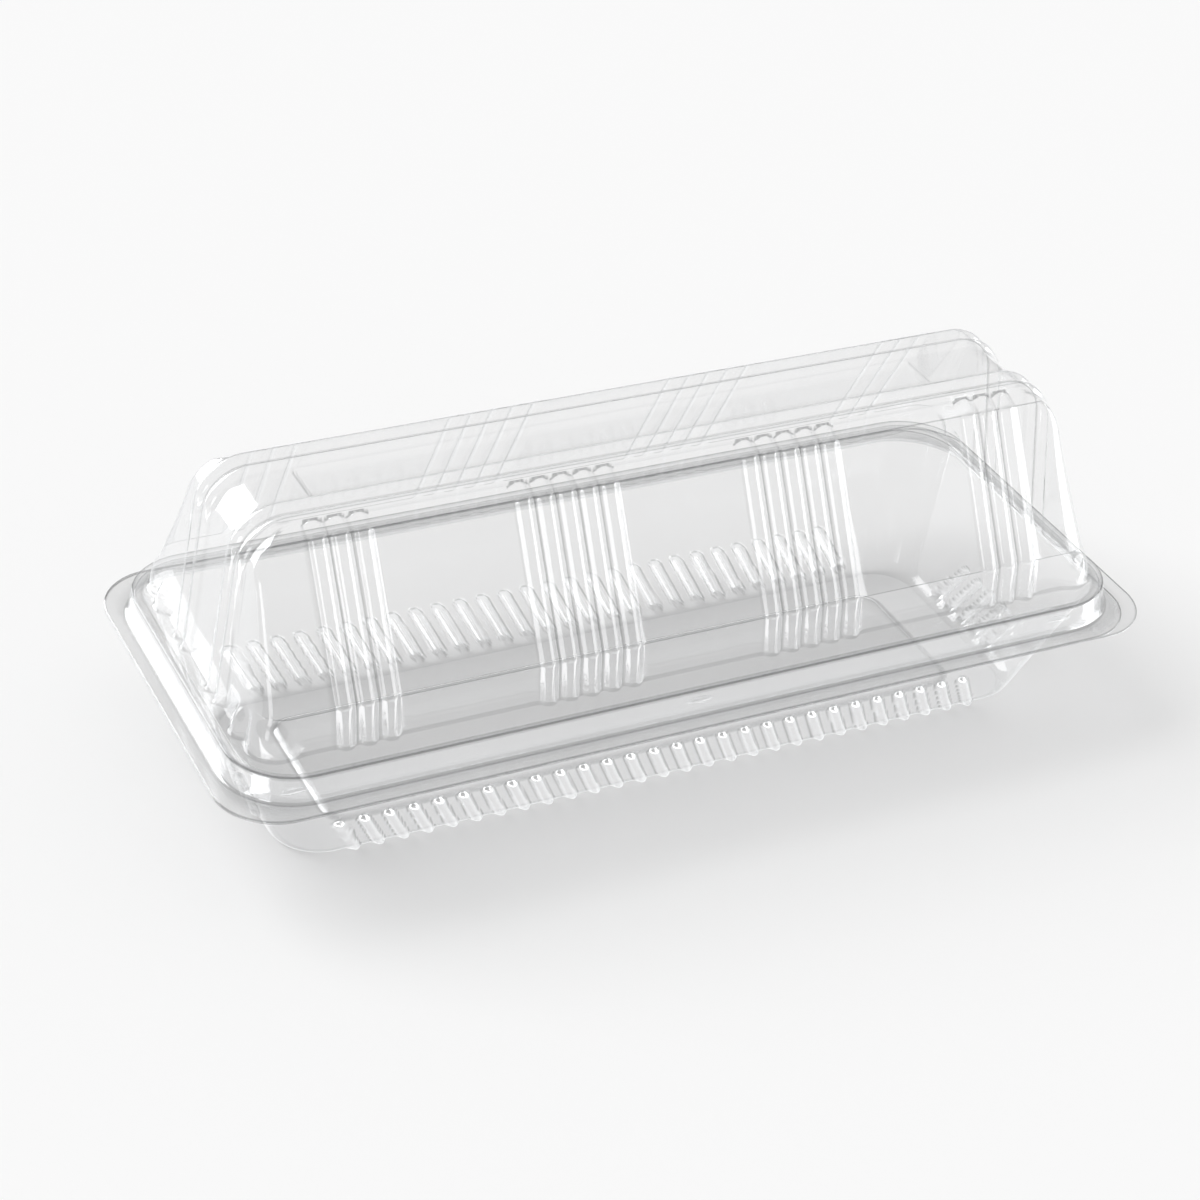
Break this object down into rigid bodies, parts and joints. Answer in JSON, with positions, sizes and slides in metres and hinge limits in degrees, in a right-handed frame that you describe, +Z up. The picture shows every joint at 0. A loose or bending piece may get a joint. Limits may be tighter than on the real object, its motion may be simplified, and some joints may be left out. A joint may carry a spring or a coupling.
{
  "type": "hinged clamshell food pack",
  "caption": "Long clear thermoformed clamshell pack: shallow fluted tray with a tall ribbed dome lid that folds on a hinge along the rear edge.",
  "frame": {"origin": "centre of the pack's outline, on the plane of the tray's floor where it stands on a table", "axes": "+X along the pack to the end with the wider flange margin, +Y to the hinge, +Z up to the lid's crown"},
  "size_m": [0.24, 0.105, 0.0815],
  "materials": {
    "clear_plastic": "gloss"
  },
  "bodies": {
    "tray": {"tray": "clear_plastic"},
    "lid": {"lid": "clear_plastic"}
  },
  "joints": [
    {"name": "lid_fold", "type": "hinge", "parent": "tray", "child": "lid", "pos_m": [0, 0.0525, 0.029], "axis": [-1, 0, 0], "range_deg": [0, 150]}
  ]
}
